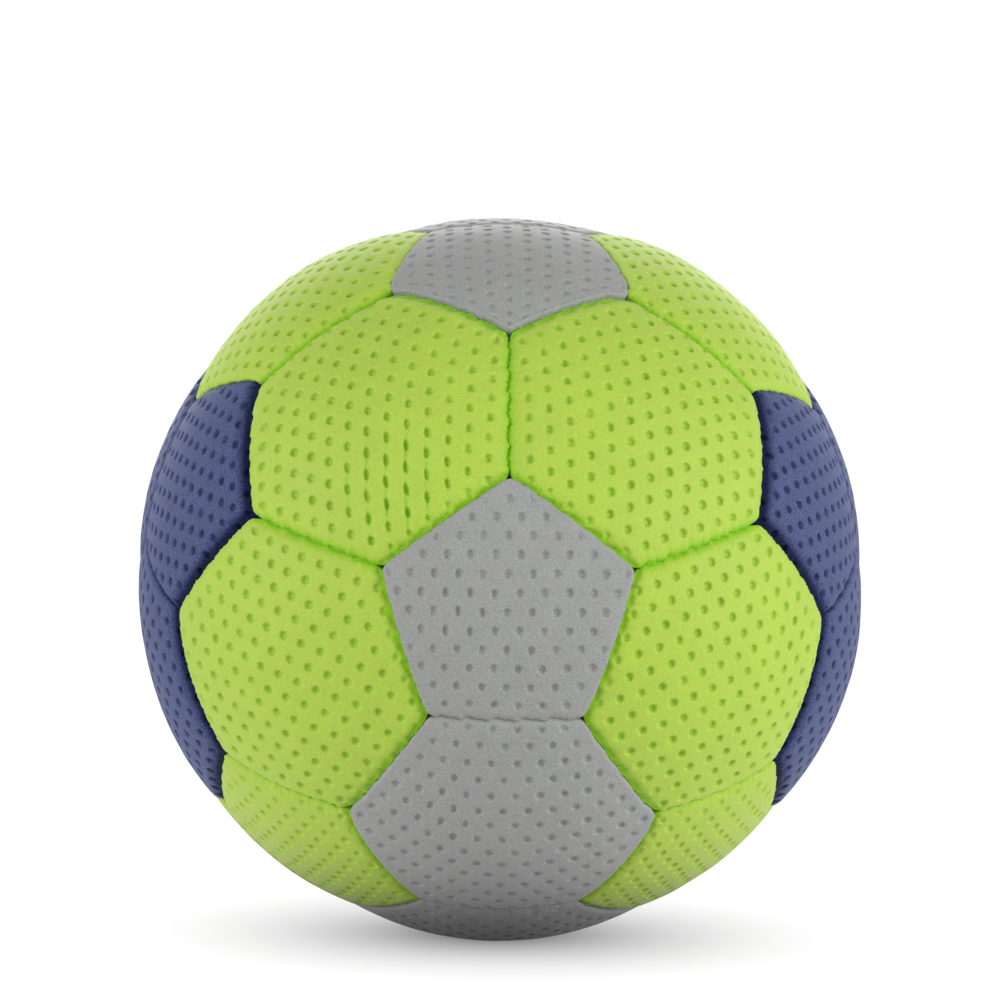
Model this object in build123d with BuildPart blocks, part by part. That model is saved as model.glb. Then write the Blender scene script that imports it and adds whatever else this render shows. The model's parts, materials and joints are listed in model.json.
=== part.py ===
"""Sewn handball: crowned foam panels over cloth linings, an air bladder and a needle valve.

The origin is the ball's centre and +Z is up. The pentagon on -Y faces front with a corner up,
and the needle valve sits in the pentagon on +Y. Each panel is drawn once for its kind, standing
on +Z, and then turned to its place. All seam planes run through the ball's centre, so that the
turned-in edges of neighbouring panels meet face to face.
"""
import os
from math import atan, cos, pi, sin, sqrt, tan

from build123d import *

# Ball, in millimetres
ball_circumference = 550.0  # round the crowns of the hexagons
seam_dip = 2.0  # seam line below the crown of a hexagon
pentagon_lowering = 0.8  # crown of a pentagon below the crown of a hexagon

# Foam panels
foam_thickness = 4.6  # at the crown of a hexagon
flange_thickness = 2.2  # turned-in edge, pressed against its neighbour
edge_roll = 1.8  # rounding along the outer edge
corner_slack = 0.8  # rounding of a corner beyond that of the edge

# Cloth lining, one in the dish of each panel
lining_thickness = 1.4

# Bladder
bladder_clearance = 0.1
bladder_wall = 1.0

# Needle valve
valve_recess = 1.2  # mouth below the crown of its panel
valve_stem_diameter = 7.0
valve_stem_clearance = 0.2
valve_flange_diameter = 24.0
valve_flange_thickness = 1.5
valve_boss_diameter = 9.0
valve_boss_length = 6.0
core_diameter = 4.2
core_collar_diameter = 5.4
core_collar_height = 2.0
core_collar_depth = 5.0  # top of the collar below the mouth
needle_bore_diameter = 2.4
needle_bore_depth = 9.0
needle_funnel_diameter = 3.4
needle_funnel_angle = 90.0

cut_overrun = 1.0

# Panel pattern of a truncated icosahedron, angles in radians at the ball's centre
golden_ratio = (1 + sqrt(5)) / 2
hexagon_tilt = atan(1 / golden_ratio**2)  # seam plane from the panel's axis
axis_step = atan(3 - sqrt(5))  # axis of a pentagon to the axis of its hexagon
pentagon_tilt = axis_step - hexagon_tilt
pentagon_step = atan(2)  # axis of a pentagon to the axis of the next pentagon
side_counts = {"pentagon": 5, "hexagon": 6}
tilts = {"pentagon": pentagon_tilt, "hexagon": hexagon_tilt}

# Radii that the pieces share
ball_radius = ball_circumference / (2 * pi)
seam_radius = ball_radius - seam_dip
hexagon_crown = ball_radius
pentagon_crown = ball_radius - pentagon_lowering
crowns = {"pentagon": pentagon_crown, "hexagon": hexagon_crown}
dish_radius = ball_radius - foam_thickness
lining_radius = dish_radius - lining_thickness
bladder_radius = lining_radius - bladder_clearance
bladder_inner_radius = bladder_radius - bladder_wall
corner_rounding = edge_roll + corner_slack

# Heights along the valve's axis
valve_mouth = pentagon_crown - valve_recess
valve_foot = bladder_inner_radius - valve_flange_thickness - valve_boss_length
collar_top = valve_mouth - core_collar_depth

# Balls are turned so that their poles lie off the panel on +Z
pole_turn = (90, 0, 0)


def sector(kind, inset, rounding):
    """Add the pyramid over one panel, its side planes inset from the seam planes."""
    tilt = tilts[kind]
    apex_height = inset / sin(tilt)
    top_height = ball_radius + cut_overrun
    with BuildSketch(Plane.XY.offset(top_height)) as outline:
        apothem = (top_height - apex_height) * tan(tilt)
        RegularPolygon(apothem, side_counts[kind], major_radius=False)
        fillet(outline.vertices(), rounding)
    loft([outline.sketch.face(), Vertex(0, 0, apex_height)], ruled=True)


def crown(crown_height, tilt):
    """Trim the part to the ball that meets the panel's crown and the middles of its seams."""
    drop_square = crown_height**2 - seam_radius**2
    centre_height = drop_square / (2 * (crown_height - seam_radius * cos(tilt)))
    with Locations((0, 0, centre_height)):
        Sphere(crown_height - centre_height, rotation=pole_turn, mode=Mode.INTERSECT)


def dish(kind):
    """Make what fills a panel's dish, from the foam down to the ball's centre."""
    with BuildPart() as filling:
        sector(kind, flange_thickness, corner_slack)
        Sphere(dish_radius, rotation=pole_turn, mode=Mode.INTERSECT)
    return filling.part


def lining(filling):
    """Make the cloth lining that lies in a dish."""
    with BuildPart() as cloth:
        add(filling)
        Sphere(lining_radius, rotation=pole_turn, mode=Mode.SUBTRACT)
    return cloth.part


def foam(kind, filling):
    """Make a crowned foam panel with rolled edges and a dish between its turned-in flanges."""
    with BuildPart() as panel:
        sector(kind, 0, corner_rounding)
        crown(crowns[kind], tilts[kind])
        Sphere(lining_radius, rotation=pole_turn, mode=Mode.SUBTRACT)
        crowned_face = panel.faces().filter_by(GeomType.SPHERE).sort_by(Axis.Z)[-1]
        fillet(crowned_face.edges(), edge_roll)
        add(filling, mode=Mode.SUBTRACT)
    return panel.part


def valve_hole(piece):
    """Make a piece of the back pentagon with the hole that the valve's stem stands in."""
    with BuildPart() as pierced:
        add(piece)
        with Locations((0, 0, ball_radius)):
            Hole(valve_stem_diameter / 2 + valve_stem_clearance)
    return pierced.part


def on_ball(radius, reach):
    """Give the point of a profile that lies on a ball at a distance from the valve's axis."""
    return (reach, sqrt(radius**2 - reach**2))


def direction(polar, clock):
    """Point from the centre at an angle off the front pole and an angle clockwise from the top."""
    return Vector(sin(polar) * sin(clock), -cos(polar), sin(polar) * cos(clock))


def panel_plane(kind, polar, clock):
    """Give the plane that a panel stands on: X runs to a corner and Z runs out of the ball."""
    out = direction(polar, clock)
    if kind == "hexagon":
        return Plane((0, 0, 0), x_dir=direction(pi / 2, clock + pi / 2), z_dir=out)
    inward = -1 if polar < pi / 2 else 1
    return Plane((0, 0, 0), x_dir=direction(polar + inward * pi / 2, clock), z_dir=out)


def placed(piece, plane):
    """Make a copy of a piece that stands on a plane."""
    with BuildPart(plane) as copy:
        add(piece)
    return copy.part


# Rings of panels from the front pole to the back: name, kind, angle off the pole, first clock angle
fifth = 2 * pi / 5
rings = [
    ("front_hexagon", "hexagon", axis_step, fifth / 2),
    ("front_side_pentagon", "pentagon", pentagon_step, 0),
    ("front_side_hexagon", "hexagon", axis_step + 2 * hexagon_tilt, fifth / 2),
    ("back_side_hexagon", "hexagon", pi - axis_step - 2 * hexagon_tilt, 0),
    ("back_side_pentagon", "pentagon", pi - pentagon_step, fifth / 2),
    ("back_hexagon", "hexagon", pi - axis_step, 0),
]
front_plane = panel_plane("pentagon", 0, pi)
valve_plane = panel_plane("pentagon", pi, 0)
places = {"front_pentagon": ("pentagon", front_plane), "back_pentagon": ("pentagon", valve_plane)}
for ring, kind, polar, first_clock in rings:
    for number in range(5):
        plane = panel_plane(kind, polar, first_clock + number * fifth)
        places[f"{ring}_{number + 1}"] = (kind, plane)

# One panel and one lining of each kind
dishes = {kind: dish(kind) for kind in side_counts}
foams = {kind: foam(kind, filling) for kind, filling in dishes.items()}
linings = {kind: lining(filling) for kind, filling in dishes.items()}

# Every panel and lining in its place, the back pentagon's with the valve's hole
pieces = {}
cloths = {"pentagon": [], "hexagon": []}
for name, (kind, plane) in places.items():
    panel, cloth = foams[kind], linings[kind]
    if plane is valve_plane:
        panel, cloth = valve_hole(panel), valve_hole(cloth)
    pieces[name] = placed(panel, plane)
    cloths[kind].append(placed(cloth, plane))
pieces["pentagon_linings"] = Compound(children=cloths["pentagon"])
pieces["hexagon_linings"] = Compound(children=cloths["hexagon"])

# Bladder with the hole for the valve's stem
with BuildPart() as bladder:
    Sphere(bladder_radius, rotation=pole_turn)
    Sphere(bladder_inner_radius, rotation=pole_turn, mode=Mode.SUBTRACT)
    with Locations((0, 0, ball_radius)):
        Hole(valve_stem_diameter / 2, depth=ball_radius)
pieces["bladder"] = placed(bladder.part, valve_plane)

# Valve plug, with a collar that snaps into the housing
with BuildPart() as plug:
    with BuildSketch(Plane.XZ):
        with BuildLine():
            Polyline(
                (0, valve_foot),
                (core_diameter / 2, valve_foot),
                (core_diameter / 2, collar_top - core_collar_height),
                (core_collar_diameter / 2, collar_top - core_collar_height),
                (core_collar_diameter / 2, collar_top),
                (core_diameter / 2, collar_top),
                (core_diameter / 2, valve_mouth),
                (0, valve_mouth),
                close=True,
            )
        make_face()
    revolve(axis=Axis.Z)

# Valve core, the plug with a funnel and a blind bore for the needle
with BuildPart() as valve_core:
    add(plug.part)
    with Locations((0, 0, valve_mouth)):
        CounterSinkHole(
            needle_bore_diameter / 2, needle_funnel_diameter / 2, needle_bore_depth, needle_funnel_angle
        )
pieces["valve_core"] = placed(valve_core.part, valve_plane)

# Valve housing, a stem through the bladder on a flange that follows the bladder's inside
with BuildPart() as valve_housing:
    with BuildSketch(Plane.XZ):
        with BuildLine():
            flange_back = bladder_inner_radius - valve_flange_thickness
            boss_root = on_ball(flange_back, valve_boss_diameter / 2)
            flange_edge = on_ball(flange_back, valve_flange_diameter / 2)
            flange_rim = on_ball(bladder_inner_radius, valve_flange_diameter / 2)
            stem_root = on_ball(bladder_inner_radius, valve_stem_diameter / 2)
            Polyline((0, valve_foot), (valve_boss_diameter / 2, valve_foot), boss_root)
            RadiusArc(boss_root, flange_edge, flange_back)
            Line(flange_edge, flange_rim)
            RadiusArc(flange_rim, stem_root, -bladder_inner_radius)
            Polyline(stem_root, (valve_stem_diameter / 2, valve_mouth), (0, valve_mouth), (0, valve_foot))
        make_face()
    revolve(axis=Axis.Z)
    add(plug.part, mode=Mode.SUBTRACT)
pieces["valve_housing"] = placed(valve_housing.part, valve_plane)

os.makedirs("parts", exist_ok=True)
for name, piece in pieces.items():
    piece.label = name
    export_step(piece, f"parts/{name}.step")
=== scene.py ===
"""Dresses the handball's frame: dimpled foam panels, seam thread, inner finishes and a studio stage."""
import json
from collections import namedtuple
from functools import partial
from math import atan, cos, pi, radians, sin, sqrt, tan

import bpy
import numpy as np
from mathutils import Matrix, Vector


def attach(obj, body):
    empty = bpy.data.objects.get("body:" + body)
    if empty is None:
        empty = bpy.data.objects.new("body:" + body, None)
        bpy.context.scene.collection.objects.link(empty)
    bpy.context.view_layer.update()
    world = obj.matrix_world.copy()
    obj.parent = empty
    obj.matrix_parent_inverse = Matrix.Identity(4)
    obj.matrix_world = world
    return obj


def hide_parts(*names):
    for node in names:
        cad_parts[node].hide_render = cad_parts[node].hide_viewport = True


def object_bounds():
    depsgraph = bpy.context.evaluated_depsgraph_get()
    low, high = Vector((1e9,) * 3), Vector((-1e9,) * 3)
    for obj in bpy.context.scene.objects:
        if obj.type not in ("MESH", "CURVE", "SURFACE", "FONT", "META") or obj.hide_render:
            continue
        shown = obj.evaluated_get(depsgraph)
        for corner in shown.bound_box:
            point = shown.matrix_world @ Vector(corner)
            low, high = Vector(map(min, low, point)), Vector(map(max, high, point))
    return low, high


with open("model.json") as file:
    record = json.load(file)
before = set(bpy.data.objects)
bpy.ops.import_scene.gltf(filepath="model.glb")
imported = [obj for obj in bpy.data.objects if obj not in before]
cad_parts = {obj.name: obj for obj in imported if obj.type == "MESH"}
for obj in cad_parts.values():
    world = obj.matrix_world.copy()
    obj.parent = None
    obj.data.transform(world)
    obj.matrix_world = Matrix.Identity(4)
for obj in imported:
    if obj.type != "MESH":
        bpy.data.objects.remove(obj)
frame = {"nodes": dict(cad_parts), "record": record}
cad_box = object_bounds()

bl_info = {
    "name": "Handball Cover",
    "version": (1, 0, 0),
    "blender": (4, 5, 0),
    "location": "3D View > Sidebar > Handball",
    "description": "Builds the foam cover, seam thread, inner finishes and stage of a sewn handball",
    "category": "Object",
}

# Panel pattern of a truncated icosahedron, angles in radians at the ball's centre
golden_ratio = (1 + sqrt(5)) / 2
hexagon_tilt = atan(1 / golden_ratio**2)
axis_step = atan(3 - sqrt(5))
pentagon_tilt = axis_step - hexagon_tilt
pentagon_step = atan(2)
panels_per_ring = 5
fifth = 2 * pi / panels_per_ring
side_counts = {"pentagon": 5, "hexagon": 6}
tilts = {"pentagon": pentagon_tilt, "hexagon": hexagon_tilt}

# Rings of panels from the front pole to the back: name, kind, angle off the pole, first clock angle
rings = [
    ("front_hexagon", "hexagon", axis_step, fifth / 2),
    ("front_side_pentagon", "pentagon", pentagon_step, 0),
    ("front_side_hexagon", "hexagon", axis_step + 2 * hexagon_tilt, fifth / 2),
    ("back_side_hexagon", "hexagon", pi - axis_step - 2 * hexagon_tilt, 0),
    ("back_side_pentagon", "pentagon", pi - pentagon_step, fifth / 2),
    ("back_hexagon", "hexagon", pi - axis_step, 0),
]
valve_panel = "back_pentagon"

# Panels whose dimples are drawn into slits: place on the panel, lean of the slits, reach and amount
pinches = {
    "front_hexagon_5": ((-0.004, -0.018), radians(67), 0.026, 1.0),
    "front_hexagon_3": ((0.013, -0.007), radians(90), 0.016, 0.6),
    "front_pentagon": ((0.0, 0.012), 0.0, 0.014, 0.5),
}
no_pinch = ((0.0, 0.0), 0.0, 0.001, 0.0)

# Edge that a panel has along a seam, in metres, by its own colour and its neighbour's
# A plain edge has no crease
edge_fields = "roll_width roll_depth fray crease_depth crease_width crease_place stitch_share sway"
plain_edge = (0.0, 0.0005, 0.0, 1.0, 0.0002)
Edge = namedtuple("Edge", edge_fields, defaults=plain_edge)
edges = {
    ("green", "green"): Edge(0.0042, 0.0010, 0.00010, 0.0004, 0.0007, 0.0, 0.2, 0.0003),
    ("green", "grey"): Edge(0.0042, 0.0011, 0.00013, 0.0004, 0.0006, 0.0009, 0.4, 0.0001),
    ("green", "blue"): Edge(0.0026, 0.0006, 0.00008),
    ("grey", "green"): Edge(0.0010, 0.0003, 0.00004, sway=0.0001),
    ("grey", "grey"): Edge(0.0026, 0.0004, 0.00004, 0.0004, 0.0007, 0.0, 0.0, 0.0006),
    ("grey", "blue"): Edge(0.0020, 0.0008, 0.00005),
    ("blue", "green"): Edge(0.0062, 0.0040, 0.00008),
    ("blue", "grey"): Edge(0.0028, 0.0012, 0.00008),
    ("blue", "blue"): Edge(0.0022, 0.0006, 0.00008, 0.0010, 0.0005, 0.0, 0.3, 0.0003),
}

# Seams whose edge is unlike the others of its colours
top_side = Edge(0.0016, 0.0003, 0.00012)
soft_green = Edge(0.0030, 0.0005, 0.00012, 0.0003, 0.0006, 0.0, 0.2, 0.0003)
flush_blue = Edge(0.0030, 0.0010, 0.00010)
panel_edges = {
    ("front_side_hexagon_1", "front_side_pentagon_1"): top_side,
    ("front_side_hexagon_5", "front_side_pentagon_1"): top_side,
    ("front_hexagon_2", "front_side_pentagon_3"): soft_green,
    ("front_hexagon_4", "front_side_pentagon_4"): soft_green,
    ("front_side_pentagon_3", "front_hexagon_2"): soft_green,
    ("front_side_pentagon_4", "front_hexagon_4"): soft_green,
    ("front_side_pentagon_2", "front_side_hexagon_1"): flush_blue,
    ("front_side_pentagon_5", "front_side_hexagon_5"): flush_blue,
}

# How far a puffed panel leans over its neighbour, by the two colours or by the two panels
colour_leans = {("green", "blue"): 0.0014, ("green", "grey"): 0.0002}
panel_leans = {
    ("front_hexagon_1", "front_side_pentagon_1"): 0.0024,
    ("front_hexagon_5", "front_side_pentagon_1"): 0.0026,
    ("front_hexagon_5", "front_pentagon"): 0.0002,
    ("front_hexagon_1", "front_pentagon"): -0.0004,
    ("front_hexagon_2", "front_pentagon"): -0.0004,
    ("front_hexagon_2", "front_hexagon_3"): 0.0007,
    ("front_hexagon_4", "front_hexagon_3"): 0.0007,
    ("front_hexagon_4", "front_side_hexagon_4"): 0.0020,
    ("front_side_pentagon_3", "front_hexagon_3"): -0.0016,
    ("front_side_pentagon_4", "front_hexagon_3"): -0.0010,
    ("front_side_hexagon_1", "front_side_pentagon_1"): -0.0012,
    ("front_side_hexagon_1", "front_side_pentagon_2"): -0.0004,
    ("front_side_hexagon_5", "front_side_pentagon_5"): -0.0012,
}
fray_waves = (0.0013, 0.0019, 0.0031, 0.0057)
ragged_share = 0.9

# Slow bumps of the sewn ball: angle off the front pole, clock angle, reach in angle and rise
ball_bumps = [
    (radians(110), 0.0, radians(40), -0.0032),
    (radians(88), radians(22), radians(14), 0.0005),
    (radians(88), radians(-62), radians(34), -0.0007),
    (radians(64), radians(-98), radians(20), 0.0009),
    (radians(92), radians(-106), radians(24), -0.0009),
]

# Stitched seams, in shares of a stitch: start and fade of a slit, slant of a crease, step of a line
slit_start_share = 0.27
slit_fade_share = 0.2
crease_slant_share = 0.55
step_share = 0.08

# Powers that keep the sway and the ragged line near the seam, and that blend edges at a corner
# The least reach keeps a division from failing in the middle of a panel
sway_power = 2
ragged_power = 8
corner_power = 4
least_reach = 1e-9

# Flat middle of a dimple as a share of its reach
flat_share = 0.42

# Depth of the dimples by colour, and on the panels whose dimples are faint
depth_shares = {"green": 1.0, "grey": 0.75, "blue": 1.0}
faint_shares = {
    "front_side_pentagon_1": 0.8,
    "front_side_pentagon_3": 0.6,
    "front_side_pentagon_4": 0.6,
    "front_side_hexagon_3": 0.5,
}
side_lattice_lean = -0.09
cell_height = 0.5

# Noises: waves per metre, detail and, where it is fixed, the seed
noise_middle = 0.5
stray_noise = (90.0, 1.0)
depth_noise = (150.0, 1.0)
swell_noise = (62.0, 2.0)
bend_noise = (160.0, 2.0)
break_noise = (240.0, 1.0, 2.0)
mottle_noise = (140.0, 3.0, 4.0)
stitch_noise = (300.0, 1.0)
foam_detail = 2.0
rubber_detail = 3.0

# Pressed dimples: a factor and what it is added to, and the band along a seam in which they fade
uneven_shares = (0.9, 0.5)
slit_length_shares = (-0.32, 1.0)
slit_width_shares = (0.6, 1.0)
slit_depth_shares = (0.15, 1.0)
swell_factor = 2.0
fade_band = (0.0006, 0.0026)

# Speckle, sheen and shine of each foam, and how far light of each colour scatters in it
foam_shares = {
    "green": (0.08, 0.12, 0.55, (1.0, 1.0, 0.4)),
    "grey": (0.13, 0.08, 0.45, (1.0, 1.0, 1.0)),
    "blue": (0.60, 0.08, 0.32, (0.6, 0.7, 1.0)),
}
foam_grain = {"Grain": 2600.0, "Grain Height": 0.00016}
foam_finish = {"Sheen Roughness": 0.5, "Subsurface Weight": 0.4, "Subsurface Scale": 0.0007}

# Foam skin: creases of a pinched patch, then painted shade along dropped seam edges, in dimples and in
# creases, speckle, height and roughness
# Four shares are a ramp: from and to, and the values there
bend_reach = 0.0009
crease_reach = 0.0005
break_shares = (0.4, 0.6, 0.2, 1.0)
pinch_shares = (0.35, 0.9, 0.0, 1.0)
# Painted shade: the edge drop over which it grows, and its share along edges, in dimples and in creases
edge_depths = (0.0001, 0.0014)
edge_shade_share = 0.9
dimple_shade_share = 0.40
crease_shade_share = 0.8
speck_shares = (0.3, 0.7, -1.0, 1.0)
mottle_share = 0.14
base_share = 0.93
crease_height_share = -2.0
dimple_height_share = -0.28
foam_rough_shares = (0.16, 0.56)

# Rubber, cloth and thread skins: two shares are a factor and what it is added to
rubber_grain = {"Grain": 900.0, "Grain Height": 0.00006}
rubber_bright_shares = (0.5, 0.75)
rubber_rough_share = 0.3
weave = {"Yarn Gap": 0.0006, "Yarn Height": 0.00012}
over_shares = (-0.2, 0.2, 0.0, 1.0)
cloth_bright_shares = (0.4, 0.7)
cloth_rough_shares = (-0.1, 0.95)
strand_count = 2.0
strand_bright_shares = (0.5, 0.7)
strand_rough_shares = (-0.2, 0.9)
bead_shape = {"Segments": 8, "Rings": 6, "Radius": 0.5}
stitch_seed = 1.0

# Rubber pieces by node: colour and roughness
rubber_shares = {"bladder": ("bladder", 0.55), "valve_housing": ("valve", 0.5), "valve_core": ("plug", 0.6)}

# Floor in metres, and the softboxes by side: place and size
floor_half = 8.0
floor_tone = (0.05, 0.05, 0.05)
# Painted contact shadow on the floor round the ball: its stretch towards the camera and its reach
shadow_stretch = 1.35
shadow_reach = 0.1
# Glow that the table throws up to light the ball from below: its stretch, and the edge inside which it is
# dark, a painted shadow under the ball
table_stretch = 1.1
table_edge = (0.055, 0.088)
softboxes = {
    "left": ((-1.10, -0.52, 0.36), (0.5, 0.7)),
    "right": ((1.10, -0.52, 0.36), (0.5, 0.7)),
    "back": ((0.0, 1.3, 0.5), (1.2, 0.8)),
    "front": ((0.0, -0.95, 0.88), (1.2, 0.5)),
}


def node_reach(node, pick):
    """Give the distance from the ball's centre to the nearest or farthest corner of a CAD node."""
    mesh = frame["nodes"][node].data
    corners = np.empty(3 * len(mesh.vertices))
    mesh.vertices.foreach_get("co", corners)
    return float(pick(np.linalg.norm(corners.reshape(-1, 3), axis=1)))


def field(name, description, default, kind=bpy.props.FloatProperty, **looks):
    """Make a property with its name, description and default."""
    return kind(name=name, description=description, default=default, **looks)


# Kinds of property: a length in metres, an angle, a share from 0 to 1, a linear colour and a lamp's power
length = partial(field, unit="LENGTH", precision=5)
turn = partial(field, subtype="ANGLE", unit="ROTATION")
share = partial(field, subtype="FACTOR", min=0, max=1)
colour = partial(field, kind=bpy.props.FloatVectorProperty, subtype="COLOR", size=3, min=0, max=1)
power = partial(field, unit="POWER")


class HandballCover(bpy.types.PropertyGroup):
    """Sizes of the foam panels and of the seams between them."""

    hexagon_crown: length(
        "Hexagon crown", "Top of a hexagon from the ball's centre", node_reach("front_hexagon_1", np.max)
    )
    pentagon_crown: length(
        "Pentagon crown", "Top of a pentagon from the ball's centre", node_reach("front_pentagon", np.max)
    )
    dish_radius: length(
        "Dish radius", "Underside of the foam, on the lining", node_reach("hexagon_linings", np.max)
    )
    flange_radius: length(
        "Flange radius", "Tip of the turned-in edge", node_reach("hexagon_linings", np.min)
    )
    seam_dip: length("Seam dip", "Seam line below the crown of a hexagon", 0.0013)
    seam_clearance: length("Seam clearance", "Half the gap between pressed edges", 0.00002)
    border_width: length("Border width", "Band along a seam that is drawn finely", 0.0045)
    flange_thickness: length("Flange thickness", "Foam turned in along a seam", 0.0022)
    hexagon_rounding: length("Hexagon rounding", "Rounding of a hexagon's corners", 0.0040)
    pentagon_rounding: length("Pentagon rounding", "Rounding of a pentagon's corners", 0.0028)
    valve_hole_radius: length("Valve hole", "Hole that the valve stands in", 0.0037)
    valve_lip: length("Valve lip", "Rolled lip of the valve's hole", 0.0008)
    stitch_pitch: length("Stitch pitch", "Stitches along a seam", 0.0062)
    seam_length: length("Seam length", "Seam from corner to corner", 0.0352)
    corner_ease: length("Corner ease", "Stretch in which a seam's lean turns into its corner's", 0.006)
    sewn_length: length("Sewn length", "Stitched stretch of a seam", 0.0335)


class HandballDimples(bpy.types.PropertyGroup):
    """Sizes of the dimples pressed into the foam."""

    pitch: length("Pitch", "Dimples along a row", 0.0055)
    row_gap: length("Row gap", "One row of dimples to the next", 0.00427)
    width: length("Width", "Reach of a dimple from its middle", 0.00124)
    depth: length("Depth", "Depth of a dimple", 0.00078)
    wobble: length("Wobble", "How far dimples stray from the lattice", 0.0010)
    swell: length("Swell", "Slow unevenness of the foam", 0.00030)
    side_pitch: length("Side pitch", "Dimples along a row of a side pentagon", 0.0046)
    side_row_gap: length("Side row gap", "Rows of dimples of a side pentagon", 0.00455)


class HandballThread(bpy.types.PropertyGroup):
    """Sizes of the stitches that join the panels."""

    length: length("Length", "Length of a stitch", 0.0044)
    thickness: length("Thickness", "Thickness of the thread", 0.0006)
    bury: length("Bury", "Middle of the thread below the foot of the seam", 0.00014)
    strand_height: length("Strand height", "Height of a strand", 0.00006)
    slant: turn("Slant", "Stitch off the line of the seam", radians(15))
    twist: turn("Twist", "Turn of the strands along a stitch", radians(1440))
    unevenness: share("Unevenness", "Spread in the length of the stitches", 0.6)


class HandballColours(bpy.types.PropertyGroup):
    """Linear colours of the materials."""

    foam_green: colour("Green foam", "Lime green panels", (0.356, 0.512, 0.036))
    foam_blue: colour("Blue foam", "Blue panels", (0.037, 0.054, 0.156))
    foam_grey: colour("Grey foam", "Grey panels", (0.280, 0.286, 0.279))
    # Depth colours are painted shade: the foam skin mixes them in along dropped seam edges, in dimples and in
    # creases, and the thread takes their mean
    green_depth: colour("Green depth", "Lime green in dimples and creases", (0.20, 0.50, 0.002))
    blue_depth: colour("Blue depth", "Blue in dimples and creases", (0.006, 0.011, 0.055))
    grey_depth: colour("Grey depth", "Grey in dimples and creases", (0.205, 0.21, 0.205))
    cloth: colour("Lining cloth", "Woven lining", (0.62, 0.60, 0.54))
    bladder: colour("Bladder rubber", "Bladder", (0.045, 0.042, 0.040))
    valve: colour("Valve rubber", "Valve housing", (0.030, 0.030, 0.032))
    plug: colour("Plug rubber", "Valve core", (0.060, 0.058, 0.056))


class HandballStage(bpy.types.PropertyGroup):
    """Camera and lamps."""

    azimuth: turn("Azimuth", "Camera round the ball", radians(-1.24))
    elevation: turn("Elevation", "Camera above the horizon", radians(5.53))
    roll: turn("Roll", "Camera about its own axis", radians(0.88))
    aim_up: turn("Aim up", "Camera raised off the ball's centre", radians(1.058))
    aim_right: turn("Aim right", "Camera turned off the ball's centre", radians(0.009))
    distance: length("Distance", "Camera from the ball's centre", 0.970)
    lens: field("Lens", "Focal length", 145.3, unit="CAMERA")
    left_power: power("Left softbox", "Power of the softbox on the left", 9.1)
    right_power: power("Right softbox", "Power of the softbox on the right", 11.7)
    back_power: power("Back softbox", "Power of the softbox behind", 15.0)
    front_power: power("Front softbox", "Power of the softbox above the camera", 5.6)
    table_glow: field("Table glow", "Light that the white table throws up", 0.97)
    fill: field("Fill", "Even light from all round", 0.05)


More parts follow.
